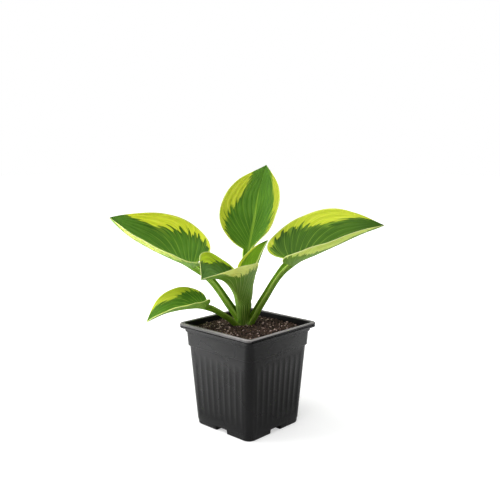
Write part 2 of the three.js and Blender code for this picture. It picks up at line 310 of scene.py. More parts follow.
class Bench:
    """Builds one material's nodes."""

    def __init__(self, name: str) -> None:
        """Starts an empty material.

        Args:
            name: The material's name.
        """
        self.material = bpy.data.materials.new(name)
        self.material.use_nodes = True
        self.tree = self.material.node_tree
        self.tree.nodes.clear()

    def node(
        self,
        kind: str,
        settings: dict[str, Any] | None = None,
        feeds: dict[str | int, Feed] | None = None,
        out: str | int = 0,
    ) -> Wire:
        """Adds a node of any type.

        Args:
            kind: The node's type name.
            settings: Its own settings, set before its sockets. "stops" fills a ramp.
            feeds: Values or wires for its input sockets, by name or number.
            out: The output socket that the returned wire reads.

        Returns:
            A wire from that output.
        """
        made = self.tree.nodes.new(kind)
        for key, value in (settings or {}).items():
            if key == "stops":
                self._fill_ramp(made.color_ramp, value)
            else:
                setattr(made, key, value)
        for key, value in (feeds or {}).items():
            socket = made.inputs[key]
            if isinstance(value, Wire):
                self.tree.links.new(value.socket, socket)
            elif isinstance(value, tuple) and len(value) == 3 and socket.type == "RGBA":
                socket.default_value = (*value, 1.0)
            else:
                socket.default_value = value
        return Wire(self, made.outputs[out])

    @staticmethod
    def _fill_ramp(ramp: bpy.types.ColorRamp, stops: Profile) -> None:
        """Gives a ramp its stops.

        Args:
            ramp: The ramp, as a new node has it.
            stops: Each stop's place and grey value, in order.
        """
        while len(ramp.elements) > 1:
            ramp.elements.remove(ramp.elements[-1])
        for index, (place, value) in enumerate(stops):
            stop = ramp.elements.new(place) if index else ramp.elements[0]
            stop.position = place
            stop.color = (value, value, value, 1.0)

    def tint(self, low: Feed, high: Feed, share: Feed) -> Wire:
        """Mixes two colours.

        Args:
            low: The colour at share 0.
            high: The colour at share 1.
            share: How much of the second.

        Returns:
            The mixed colour.
        """
        return self.node(
            "ShaderNodeMix",
            {"data_type": "RGBA", "clamp_factor": True},
            {0: share, 6: low, 7: high},
            out=2,
        )

    def attribute(self, name: str) -> Wire:
        """The number that the mesh carries under a name."""
        return self.node("ShaderNodeAttribute", {"attribute_name": name}, out="Fac")

    def place(self) -> Wire:
        """The place on the piece."""
        return self.node("ShaderNodeTexCoord", out="Object")

    def coordinate(self, axis: str) -> Wire:
        """The place on the piece along X, Y or Z, in metres."""
        return self.node("ShaderNodeSeparateXYZ", None, {0: self.place()}, out=axis)

    def speckle(self, where: Wire, scale: float, detail: float = 2.0) -> Wire:
        """Noise from 0 to 1.

        Args:
            where: The vector it is read at.
            scale: Its fineness.
            detail: How many finer layers it has.

        Returns:
            The noise value.
        """
        feeds = {"Vector": where, "Scale": scale, "Detail": detail}
        return self.node("ShaderNodeTexNoise", None, feeds)

    def finish(
        self, sockets: dict[str, Feed], height: Wire | None = None, depth: float = 0.0
    ) -> Material:
        """Ends the material in one surface shader.

        Args:
            sockets: The shader's inputs by name.
            height: A relief that bumps the surface, or None.
            depth: The relief's depth in metres.

        Returns:
            The material.
        """
        feeds = dict(sockets)
        if height is not None:
            relief = {"Height": height, "Distance": depth, "Strength": 1.0}
            feeds["Normal"] = self.node("ShaderNodeBump", None, relief)
        shader = self.node("ShaderNodeBsdfPrincipled", None, feeds)
        output = self.tree.nodes.new("ShaderNodeOutputMaterial")
        self.tree.links.new(shader.socket, output.inputs["Surface"])
        return self.material


# ---- finishes


@dataclass(frozen=True)
class PlasticFinish:
    """Dark moulded plastic with a fine matte grain, and a painted highlight along the rim.

    The painted highlight lies in bands given by heights and by places along X or Y, in metres:
    where it starts and where it is full. Left and right are as the camera sees the pot.
    """

    name: str = "moulded_plastic"
    dark: Colour = srgb(15, 15, 16)
    light: Colour = srgb(20, 20, 21)
    # the pale grey of the painted highlight along the rim
    grain_and_highlight: Colour = srgb(150, 146, 146)
    roughness: float = 0.27
    gloss: float = 0.225
    grain: float = 0.00005
    # where the painted highlight lies: the rim's top edge, and bands on the lip's left and right
    top_edge: Pair = (0.0942, 0.0949)
    left_lip: Pair = (0.0927, 0.0931)
    left_face: Pair = (-0.0415, -0.0432)
    left_highlight: float = 0.42
    right_lip: Pair = (0.0938, 0.0944)
    right_face: Pair = (0.0434, 0.0442)
    right_highlight: float = 0.7

    def make(self) -> Material:
        """Builds the material.

        Returns:
            The plastic.
        """
        bench = Bench(self.name)
        where = bench.place()
        height = bench.coordinate("Z")
        cloud = bench.speckle(where, 30.0, 3.0)
        grain = bench.speckle(where, 2600.0)
        highlight_noise = bench.speckle(where, 260.0, 4.0)
        # painted highlight: the rim's top edge and the lip's left and right bands are painted pale
        # grey, broken up by noise and made a little rougher
        left = height.step(*self.left_lip) * bench.coordinate("Y").step(*self.left_face)
        right = height.step(*self.right_lip) * bench.coordinate("X").step(*self.right_face)
        highlight_bands = height.step(*self.top_edge) + left * self.left_highlight + right * self.right_highlight
        highlight_mask = highlight_bands * (0.4 + highlight_noise * 0.8)
        colour = bench.tint(self.dark, self.light, cloud.step(0.3, 0.7))
        return bench.finish(
            {
                "Base Color": bench.tint(colour, self.grain_and_highlight, highlight_mask),
                "Roughness": self.roughness + (cloud - 0.5) * 0.12 + highlight_mask * 0.2,
                "Specular IOR Level": self.gloss,
            },
            grain,
            self.grain,
        )


@dataclass(frozen=True)
class SoilFinish:
    """Damp peat, dark brown to black, with coarse and fine grain."""

    black: Colour = srgb(30, 23, 19)
    brown: Colour = srgb(100, 78, 67)
    pale: Colour = srgb(226, 198, 190)
    bed_relief: float = 0.0012
    crumb_relief: float = 0.0003

    def make_bed(self) -> Material:
        """Builds the material of the soil's surface.

        Returns:
            The peat.
        """
        bench = Bench("peat")
        where = bench.place()
        lumps = bench.speckle(where, 320.0, 4.0)
        grains = bench.speckle(where, 1500.0, 3.0)
        shade = bench.tint(self.black, self.brown, (lumps * 0.5 + grains * 0.5).step(0.38, 0.66))
        flecks = bench.tint(shade, self.pale, grains.step(0.7, 0.76) * 0.7)
        return bench.finish(
            {"Base Color": flecks, "Roughness": 0.92, "Specular IOR Level": 0.2},
            lumps + grains * 0.5,
            self.bed_relief,
        )

    def make_crumbs(self) -> Material:
        """Builds the material of the loose crumbs, each with a tone of its own.

        Returns:
            The crumbs' material.
        """
        bench = Bench("peat_crumbs")
        tone = bench.attribute("tone")
        grains = bench.speckle(bench.place(), 1800.0)
        dark = bench.tint(self.black, self.brown, (tone * 1.3).step(0.0, 1.0))
        pale = bench.tint(dark, self.pale, tone.step(0.82, 0.96))
        grain_and_highlight = bench.tint(pale, self.black, grains.step(0.62, 0.4) * 0.5)
        return bench.finish(
            {"Base Color": grain_and_highlight, "Roughness": 0.85, "Specular IOR Level": 0.25},
            grains,
            self.crumb_relief,
        )


class Surface(Enum):
    """The two faces of a leaf."""

    UPPER = "upper"
    LOWER = "lower"


class BladeMap:
    """Where a point lies on its leaf, by the numbers that the leaf's mesh carries.

    across runs from -1 at the right margin to 1 at the left one. along runs from 0 at the
    blade's base to 1 at its tip, and is below 0 on the stalk. vein says which side vein
    the point is on, from 0 at the midrib to 1 at the margin.
    """

    def __init__(self, bench: Bench, seed: float) -> None:
        """Reads the numbers.

        Args:
            bench: The material's bench.
            seed: Sets this leaf's noise apart from the others'.
        """
        self.bench = bench
        self.seed = seed
        self.across = bench.attribute("across")
        self.along = bench.attribute("along")
        self.vein = bench.attribute("vein")
        self.reach = abs(self.across)
        self.left = self.across > 0.0
        self.lane = self.left * LANE_GAP + self.vein

    def streaks(self, stretch: float, salt: float, fineness: float, detail: float = 1.0) -> Wire:
        """Noise that is drawn out along the veins.

        Args:
            stretch: How fast it changes along the leaf, where 0 is never.
            salt: Sets it apart from the leaf's other noise.
            fineness: How fast it changes across the veins.
            detail: How many finer layers it has.

        Returns:
            The noise, from 0 to 1.
        """
        where = {0: self.lane, 1: self.along * stretch, 2: self.seed + salt}
        return self.bench.speckle(
            self.bench.node("ShaderNodeCombineXYZ", None, where), fineness, detail
        )


@dataclass(frozen=True)
class LeafFinish:
    """Green leaf tissue with a yellow margin whose inner edge runs out in spikes along the veins.

    An edge profile says where the yellow starts: places along the blade, each with its
    share of the half width. The lower face has profiles of its own where they differ.
    """

    left_edge: Profile
    right_edge: Profile
    left_under: Profile = ()
    right_under: Profile = ()
    cream_from: float = 0.02  # where on the blade the thin cream edge starts
    seed: float = 0.0
    spikes: float = 0.26  # how far the yellow runs in along the veins
    teeth: float = 8.5  # spikes to a half
    fine_teeth: float = 2.7  # finer spikes to each of them
    edge_blur: float = 0.012
    patch_band: Pair = (-0.32, -0.06)  # where the mid-green patches lie, past the inner edge
    patch_at: float = -1.0  # where a larger one lies, if on the blade
    # how strong the painted highlight along the stalk's channel and edges is
    stalk_highlight: float = 0.8
    right_shade: float = 0.0  # painted shade: how much duller the right half is made
    base_band: Pair = (-0.05, 0.06)  # where the stalk's colours give way to the blade's
    midrib_half: Pair = (0.085, 0.03)
    veins: int = 7
    vein_strength: float = 0.8
    vein_sharpness: float = 22.0
    fine_upper: float = 0.1
    fine_under: float = 0.22
    stalk_lines: float = 0.3
    funnel_lines: float = 0.0  # pale lines on the outside of a rolled base
    relief: float = 0.00018
    green: Colour = srgb(88, 136, 38)
    deep_green: Colour = srgb(54, 96, 22)
    vein_green: Colour = srgb(150, 188, 66)
    under_vein: Colour = srgb(184, 212, 112)
    between: Colour = srgb(120, 154, 42)
    yellow: Colour = srgb(190, 200, 50)
    pale_yellow: Colour = srgb(208, 212, 84)
    green_yellow: Colour = srgb(168, 190, 40)
    cream: Colour = srgb(222, 230, 156)
    # the lower face's green and yellow are set paler than its own colour: painted light that makes
    # up for the shade it lies in
    under_green: Colour = srgb(118, 164, 56)
    under_yellow: Colour = srgb(222, 242, 124)
    stalk_green: Colour = srgb(108, 152, 24)
    stalk_dark: Colour = srgb(72, 108, 10)
    stalk_light: Colour = srgb(168, 200, 88)

    def _margin(self, spot: BladeMap, upper: bool) -> tuple[Wire, Wire]:
        """Finds the yellow margin and the mid-green patches beside it.

        Args:
            spot: Where the point lies on the leaf.
            upper: Whether this is the upper face.

        Returns:
            How far the point is past the margin's inner edge, and how much of a patch it shows.
        """
        drift = spot.streaks(0.0, 0.0, 9.0)
        tooth = (spot.vein * self.teeth + drift * 1.2).zigzag() ** 2.0 * 0.75
        tooth = tooth + (spot.vein * (self.teeth * self.fine_teeth) + drift).zigzag() ** 2.0 * 0.25
        length = spot.streaks(0.25, 3.0, 17.0).step(0.3, 0.68) * 0.8 + 0.2
        fringe = (spot.streaks(0.1, 5.0, 60.0) - 0.5) * 0.5
        reach_out = (tooth * length + fringe) * spot.along.step(0.92, 0.6)
        shifted = spot.along - reach_out * self.spikes
        sides = (self.right_edge, self.left_edge)
        if not upper:
            sides = (self.right_under or self.right_edge, self.left_under or self.left_edge)
        right, left = (
            spot.bench.node("ShaderNodeValToRGB", {"stops": stops}, {"Fac": shifted})
            for stops in sides
        )
        inside = spot.reach - (right * (1 - spot.left) + left * spot.left)
        patch = abs(spot.along - self.patch_at).step(0.13, 0.03) * 0.14
        streaked = spot.streaks(0.06, 7.0, 30.0) + inside * 0.8 + patch * 2.4
        return inside, (inside - patch).step(*self.patch_band) * streaked.step(0.46, 0.52)

    def make(self, leaf: str, surface: Surface) -> Material:
        """Builds the material of one face of the leaf.

        Args:
            leaf: The leaf's name.
            surface: Which face.

        Returns:
            The material.
        """
        upper = surface is Surface.UPPER
        bench = Bench(f"{leaf}_{surface.value}")
        spot = BladeMap(bench, self.seed)
        along, reach = spot.along, spot.reach
        inside, patches = self._margin(spot, upper)
        cloud = bench.speckle(bench.place(), 45.0)
        fibres = spot.streaks(0.1, 1.0, 60.0, 2.0)
        rib_wave = (spot.vein * float(self.veins)).wave()
        strength = spot.streaks(0.8, 9.0, 9.0).step(0.3, 0.62) * 0.75 + 0.25
        rib_lines = rib_wave**self.vein_sharpness * along.step(0.9, 0.1)
        rib_lines = rib_lines * reach.step(1.1, 0.3) * strength
        fine_lines = (spot.vein * (self.veins * 4.0)).wave() ** 3.0
        midrib = (reach + along * 0.06).step(*self.midrib_half) * along.step(0.95, 0.3)
        # painted shade over the right half: its tissue goes towards deep green and its margin
        # towards green-yellow
        right_shade_mask = spot.across.step(0.0, -0.2) * self.right_shade

        if upper:
            mottle = (cloud * 0.4 + fibres * 0.6).step(0.38, 0.68) * 0.8
            tissue = bench.tint(self.green, self.deep_green, mottle)
            tissue = bench.tint(tissue, self.deep_green, inside.step(-0.2, -0.03) * 0.7)
        else:
            tissue = bench.tint(self.under_green, self.green, fibres.step(0.45, 0.7) * 0.6)
        lines = rib_lines * self.vein_strength
        lines = lines + fine_lines * (self.fine_upper if upper else self.fine_under)
        tissue = bench.tint(tissue, self.vein_green if upper else self.under_vein, lines)
        tissue = bench.tint(tissue, self.deep_green, right_shade_mask * 0.4)
        tissue = bench.tint(tissue, self.between, patches * 0.8)
        rim = self.yellow if upper else self.under_yellow
        rim = bench.tint(rim, self.pale_yellow, fibres.step(0.48, 0.7) * 0.7)
        rim = bench.tint(rim, self.green_yellow, fibres.step(0.5, 0.3) * 0.5 + rib_lines * 0.3)
        rim = bench.tint(rim, self.green_yellow, right_shade_mask)
        blade = bench.tint(tissue, rim, inside.step(-self.edge_blur, self.edge_blur))
        edging = reach.step(0.965, 0.995) * along.step(self.cream_from, self.cream_from + 0.08)
        blade = bench.tint(blade, self.cream, edging * 0.8)
        blade = bench.tint(blade, self.vein_green, midrib * (0.85 if upper else 0.4))

        # painted highlight: the stalk is painted paler along its channel on the upper face, on its
        # flanks below and at its edges
        ridge_highlight = reach.step(0.3, 0.04) if upper else reach.step(0.62, 0.86)
        lit = ridge_highlight * self.stalk_highlight + fine_lines * 0.2 + rib_wave**8.0 * self.stalk_lines
        stalk = bench.tint(self.stalk_green, self.stalk_light, lit)
        stalk = bench.tint(stalk, self.stalk_dark, fibres.step(0.46, 0.62) * 0.7)
        stalk = bench.tint(stalk, self.stalk_light, reach.step(0.93, 1.0) * self.stalk_highlight)
        whole = bench.tint(stalk, blade, along.step(*self.base_band))
        if self.funnel_lines and not upper:
            pale = (spot.vein * (self.veins * 2.0)).wave() ** 3.0 * along.step(0.52, 0.2)
            pale = pale * (fibres.step(0.3, 0.6) * self.funnel_lines)
            whole = bench.tint(whole, self.under_vein, pale)
        return bench.finish(
            {
                "Base Color": whole,
                "Roughness": 0.52 + (fibres - 0.5) * 0.2,
                "Specular IOR Level": 0.09,
                "Subsurface Weight": 0.35,
                "Subsurface Radius": (0.8, 1.0, 0.25),
                "Subsurface Scale": 0.0012,
            },
            rib_wave * -0.5 + fine_lines * 0.3 + fibres * 0.3,
            self.relief,
        )


# ---- pot


@dataclass
class Pot:
    """The square nursery pot: foot, ribbed tapering body, collar, bead and turned-out lip.

    Sizes are in millimetres. The walls are given by height, half width and corner radius.
    """

    finish: PlasticFinish = PlasticFinish()
    # painted shade: a darker, rougher plastic for the inside wall
    inner_shade: PlasticFinish = PlasticFinish(
        "inner_shade_plastic", dark=srgb(9, 8, 8), light=srgb(15, 14, 13), roughness=0.75, gloss=0.12
    )
    inner_shade_span: Pair = (6.0, 94.0)
    corner_segments: int = 9
    outside: tuple[Triple, ...] = (
        # foot
        (0.0, 33.3, 6.6), (0.35, 33.9, 7.1), (1.1, 34.35, 7.6), (4.4, 34.7, 8.0),
        # body, and the step out to the collar
        (4.9, 35.0, 8.0), (72.9, 39.24, 7.0), (73.9, 39.3, 7.0), (74.15, 39.4, 7.0),
        (74.3, 40.2, 7.0), (74.6, 40.42, 7.0),
        # collar and its bead
        (75.1, 40.45, 7.0), (86.3, 41.0, 6.4), (86.9, 41.25, 6.3), (87.3, 41.8, 6.2),
        (87.9, 42.0, 6.1), (90.0, 42.1, 5.6), (90.25, 42.5, 5.3),
        # lip, with a fine groove round it
        (90.35, 44.0, 5.0), (90.5, 44.6, 4.8), (90.9, 44.9, 4.7), (92.0, 44.95, 4.6),
        (92.3, 44.7, 4.6), (92.5, 44.45, 4.6), (92.7, 44.7, 4.6), (92.95, 45.0, 4.6),
        (93.6, 45.0, 4.6), (94.5, 44.7, 4.5), (94.9, 44.4, 4.4), (95.0, 44.0, 4.2),
    )
    inside: tuple[Triple, ...] = (
        (95.0, 42.5, 3.8), (94.85, 42.0, 3.8), (94.2, 41.5, 3.9), (90.5, 40.9, 4.6),
        (76.5, 39.5, 5.8), (74.0, 38.1, 6.4), (7.0, 33.8, 7.2),
    )
    body: tuple[Pair, Pair] = ((4.9, 35.0), (73.9, 39.3))
    rib_count: int = 9
    rib_pitch: float = 7.4
    rib_size: Pair = (3.4, 0.26)  # width and height
    rib_span: Pair = (9.0, 71.0)
    rib_roundness: float = 0.6
    rib_ends: float = 14.0  # how fast a rib rises at its ends, against its length
    rib_root: Pair = (0.05, 1.0)  # how deep its front's edges and its back lie in the wall
    notch: Triple = (14.0, 12.0, 4.3)  # width, reach inwards and height
    notch_round: float = 0.5
    notch_clear: float = 6.0  # how far the cutting block stands out of the foot
    foot_half: float = 34.0
    drain: Pair = (4.0, 18.0)  # radius, and distance from the middle both ways

    def _shell(self) -> Piece:
        """Draws the pot up from its foot, over the lip and down inside.

        Returns:
            The plain shell.
        """
        release()
        bpy.ops.mesh.primitive_plane_add(size=2.0, location=(0, 0, 0))
        shell = named("pot_shell")
        with at_the_bench(shell):
            bpy.ops.mesh.bevel(offset=0.5, segments=self.corner_segments, affect="VERTICES")
            for index, (height, half, corner) in enumerate((*self.outside, *self.inside)):
                if index:
                    bpy.ops.mesh.extrude_region_move(TRANSFORM_OT_translate={"value": (0, 0, 0)})
                self._round(shell, half, corner, height)
            bpy.ops.mesh.select_all(action="SELECT")
            bpy.ops.mesh.remove_doubles(threshold=1e-7)
            face_outwards()
        return shell

    @staticmethod
    def _round(piece: Piece, half: float, corner: float, height: float) -> None:
        """Fits the selected face to a rounded square.

        Args:
            piece: The piece on the bench.
            half: Half the square's width.
            corner: Its corners' radius.
            height: The height it is laid at.
        """
        mesh = bmesh.from_edit_mesh(piece.data)
        face = next(f for f in mesh.faces if f.select)
        corners: dict[Pair, list[bmesh.types.BMVert]] = {}
        for vert in face.verts:
            key = (math.copysign(1.0, vert.co.x), math.copysign(1.0, vert.co.y))
            corners.setdefault(key, []).append(vert)
        for (sx, sy), verts in corners.items():
            # from the side that faces X round to the side that faces Y
            verts.sort(key=lambda v: abs(v.co.y) - abs(v.co.x))
            for index, vert in enumerate(verts):
                turn = index / (len(verts) - 1) * math.pi / 2
                vert.co = (
                    sx * (half - corner + corner * math.cos(turn)) * MM,
                    sy * (half - corner + corner * math.sin(turn)) * MM,
                    height * MM,
                )
        bmesh.update_edit_mesh(piece.data)

    @staticmethod
    def _turned(piece: Piece) -> list[Piece]:
        """Copies a piece to all four sides.

        Args:
            piece: The piece on the first side.

        Returns:
            The piece and its three copies, each with a mesh of its own.
        """
        copies = [piece]
        for quarter in (1, 2, 3):
            copy = piece.copy()
            copy.data = piece.data.copy()
            bpy.context.collection.objects.link(copy)
            pick(copy)
            copy.rotation_euler.z = quarter * math.pi / 2
            bpy.ops.object.transform_apply(location=False, rotation=True, scale=False)
            copies.append(copy)
        return copies

    def _half_at(self, height: float) -> float:
        """Half the body's width at a height."""
        (low, low_half), (high, high_half) = self.body
        return blend(low_half, high_half, (height - low) / (high - low))

    def _ribs(self) -> Piece:
        """Makes one side's ribs and copies them round.

        Returns:
            All ribs, each a bar with a rounded front that runs out at both ends.
        """
        width, depth = self.rib_size
        low, high = self.rib_span
        edge_root, back_root = self.rib_root
        bars = []
        for index in range(self.rib_count):
            offset = (index - (self.rib_count - 1) / 2) * self.rib_pitch
            release()
            bpy.ops.mesh.primitive_cube_add(size=1.0, location=(0, 0, 0))
            bar = named(f"rib_{index}")
            with at_the_bench(bar):
                bpy.ops.mesh.subdivide(number_cuts=4)
            for vert in bar.data.vertices:
                side, up = vert.co.y, vert.co.z + 0.5
                height = blend(low, high, up)
                half = self._half_at(height)
                out = -back_root
                if vert.co.x > 0.4:
                    crest = 0.0
                    if abs(side) < 0.5:
                        crest = math.cos(side * math.pi) ** self.rib_roundness
                    run_out = min(1.0, self.rib_ends * min(up, 1 - up))
                    out = depth * crest * run_out - edge_root
                across = offset * half / self._half_at(high) + side * width
                vert.co = ((half + out) * MM, across * MM, height * MM)
            bars.append(bar)
        return gather("ribs", self._turned(gather("rib_row", bars)))

    def _cutters(self) -> Piece:
        """Makes the tools that cut the foot.

        Returns:
            The blocks for the notches and the rods for the drain holes, as one piece.
        """
        width, reach, height = self.notch
        radius, offset = self.drain
        clear = self.notch_clear
        release()
        bpy.ops.mesh.primitive_cube_add(size=1.0, location=(0, 0, 0))
        block = named("notch_block")
        with at_the_bench(block):
            bpy.ops.transform.resize(value=((reach + clear) * MM, width * MM, 2 * height * MM))
            middle = self.foot_half - reach / 2 + clear / 2
            bpy.ops.transform.translate(value=(middle * MM, 0, 0))
            bpy.ops.mesh.bevel(offset=self.notch_round * MM, segments=3, affect="EDGES")
        release()
        bpy.ops.mesh.primitive_cylinder_add(
            vertices=40, radius=radius * MM, depth=30 * MM, location=(offset * MM, offset * MM, 0)
        )
        rod = named("drain_rod")
        bpy.ops.object.transform_apply(location=True, rotation=False, scale=False)
        return gather("foot_cutters", [*self._turned(block), *self._turned(rod)])

    def build(self) -> Piece:
        """Makes the pot and dresses it in plastic.

        Returns:
            The finished pot.
        """
        shell = self._shell()
        for operation, make_tool in (("UNION", self._ribs), ("DIFFERENCE", self._cutters)):
            tool = make_tool()
            carry_out(
                shell, "BOOLEAN", operation=operation, solver="EXACT", object=tool, use_self=True
            )
            bpy.data.objects.remove(tool, do_unlink=True)
        soften(shell, 32)
        dress(shell, self.finish.make(), self.inner_shade.make())
        # painted shade: inward faces between these heights get the darker plastic
        low, high = self.inner_shade_span
        for face in shell.data.polygons:
            inward = face.center.x * face.normal.x + face.center.y * face.normal.y < -10 * MM
            face.material_index = int(inward and low * MM < face.center.z < high * MM)
        settle(shell, "pot")
        return shell


# ---- soil


@dataclass
class Soil:
    """Potting soil: a lumpy bed, mounded a little at the crown, with loose crumbs on it.

    Sizes are in millimetres. The skirt is given by height and half width.
    """

    finish: SoilFinish = SoilFinish()
    half: float = 40.95
    corner: float = 7.0
    skirt: Profile = ((83.0, 40.5), (76.5, 39.8), (73.5, 38.4), (7.2, 34.1))
    level: float = 89.3
    mound: float = 2.4
    lump: float = 0.63
    lump_scales: Pair = (160.0, 420.0)
    fine_lump: float = 0.6  # the finer lumps' share
    cells: int = 110
    crumbs: int = 3800
    crumb_mix: Triple = (0.72, 0.2, 0.08)  # lumps, chips and fibres
    crumb_size: Pair = (0.3, 0.85)  # the smallest, and what the largest has more
    small_share: float = 2.6  # how much commoner small ones are
    crumb_stretch: Pair = (0.7, 1.3)
    crumb_lift: Pair = (-0.1, 0.55)
    strewn_in: float = 1.4
    seed: int = 11

    def height_at(self, x: float, y: float) -> float:
        """The bed's height at a place.

        Args:
            x: Along X, in metres.
            y: Along Y, in metres.

        Returns:
            The height in metres.
        """
        off = math.hypot(x - CROWN_PLACE[0], y - CROWN_PLACE[1]) / (self.half * MM)
        swell = self.mound * max(0.0, 1 - off)
        coarse, fine = self.lump_scales
        lumps = noise.noise(Vector((x * coarse, y * coarse, 2.0)))
        lumps += self.fine_lump * noise.noise(Vector((x * fine, y * fine, 5.0)))
        return (self.level + swell + self.lump * lumps) * MM

    def fit(self, x: float, y: float) -> float:
        """How far a place on the square is drawn in, so that the square's corners come out round.

        Args:
            x: Along X, as a share of half the bed.
            y: Along Y, as a share of half the bed.

        Returns:
            The factor for both.
        """
        long, short = max(abs(x), abs(y)), min(abs(x), abs(y))
        radius = self.corner / self.half
        if long == 0 or short / long <= 1 - radius:
            return 1.0
        # the ray through the place meets the corner's arc
        a = long * long + short * short
        b = (1 - radius) * (long + short)
        c = 2 * (1 - radius) ** 2 - radius**2
        return (b + math.sqrt(max(0.0, b * b - a * c))) / a * long

    def build_bed(self) -> Piece:
        """Makes the soil body up to its lumpy surface.

        Returns:
            The finished bed.
        """
        release()
        bpy.ops.mesh.primitive_grid_add(
            x_subdivisions=self.cells,
            y_subdivisions=self.cells,
            size=2 * self.half * MM,
            location=(0, 0, 0),
        )
        bed = named("soil_bed")
        for vert in bed.data.vertices:
            drawn = self.fit(vert.co.x / (self.half * MM), vert.co.y / (self.half * MM))
            vert.co.x *= drawn
            vert.co.y *= drawn
            vert.co.z = self.height_at(vert.co.x, vert.co.y)
        with at_the_bench(bed):
            bpy.ops.mesh.select_mode(type="EDGE")
            bpy.ops.mesh.region_to_loop()
            last_half = self.half
            for height, half in self.skirt:
                ratio = half / last_half
                bpy.ops.mesh.extrude_edges_move(TRANSFORM_OT_translate={"value": (0, 0, 0)})
                bpy.ops.transform.resize(
                    value=(ratio, ratio, 0), center_override=(0, 0, height * MM)
                )
                last_half = half
            bpy.ops.mesh.edge_face_add()
            face_outwards()
            bpy.ops.mesh.select_mode(type="VERT")
        soften(bed, 60)
        dress(bed, self.finish.make_bed())
        settle(bed, "soil")
        return bed

    @staticmethod
    def _moulds() -> list[Piece]:
        """Makes the few crumb shapes that are repeated.

        Returns:
            A lump, a chip and a fibre.
        """
        release()
        bpy.ops.mesh.primitive_ico_sphere_add(subdivisions=1, radius=1.0)
        lump = named("crumb_lump")
        release()
        bpy.ops.mesh.primitive_cube_add(size=1.6)
        chip = named("crumb_chip")
        with at_the_bench(chip):
            bpy.ops.transform.resize(value=(1.0, 0.7, 0.35))
            bpy.ops.mesh.bevel(offset=0.2, segments=1, affect="EDGES")
        release()
        bpy.ops.mesh.primitive_cylinder_add(vertices=6, radius=0.22, depth=3.4)
        fibre = named("crumb_fibre")
        with at_the_bench(fibre):
            bpy.ops.mesh.subdivide(number_cuts=1)
            bpy.ops.transform.rotate(
                value=math.pi / 2, orient_axis="Y", center_override=(0, 0, 0)
            )
        moulds = [lump, chip, fibre]
        for mould in moulds:
            mould.data.attributes.new("tone", "FLOAT", "POINT")
        return moulds

    def build_crumbs(self) -> Piece:
        """Strews copies of the crumbs over the bed and joins them.

        Returns:
            The finished crumbs, as one piece.
        """
        moulds = self._moulds()
        stream = random.Random(self.seed)
        span = (self.half - self.strewn_in) * MM
        smallest, more = self.crumb_size
        strewn = []
        for _ in range(self.crumbs):
            x, y = stream.uniform(-1, 1), stream.uniform(-1, 1)
            drawn = self.fit(x, y) * span
            x, y = x * drawn, y * drawn
            mould = stream.choices(moulds, self.crumb_mix)[0]
            size = (smallest + more * stream.random() ** self.small_share) * MM
            crumb = mould.copy()
            crumb.data = mould.data.copy()
            crumb.scale = [size * stream.uniform(*self.crumb_stretch) for _ in range(3)]
            crumb.rotation_euler = [stream.uniform(0, 2 * math.pi) for _ in range(3)]
            lift = size * stream.uniform(*self.crumb_lift)
            crumb.location = (x, y, self.height_at(x, y) + lift)
            tone = crumb.data.attributes["tone"].data
            tone.foreach_set("value", [stream.random()] * len(tone))
            bpy.context.collection.objects.link(crumb)
            strewn.append(crumb)
        for mould in moulds:
            bpy.data.objects.remove(mould, do_unlink=True)
        crumbs = gather("soil_crumbs", strewn)
        bpy.ops.object.transform_apply(location=True, rotation=True, scale=True)
        dress(crumbs, self.finish.make_crumbs())
        soften(crumbs, 50)
        settle(crumbs, None)
        return crumbs


# ---- leaves


@dataclass(frozen=True)
class HalfBlade:
    """How one half of a blade stands, in degrees.

    Its slope beside the midrib is given at the base and the tip, and the slope of its
    margin at the base, the middle and the tip.
    """

    rise: Pair
    rim: Triple


@dataclass(frozen=True)
class Course:
    """A midrib row by row: places, three directions, and the share of the blade up to there."""

    centre: np.ndarray
    along: np.ndarray
    across: np.ndarray
    up: np.ndarray
    blade: np.ndarray
    start: float  # the share of the whole midrib that is stalk


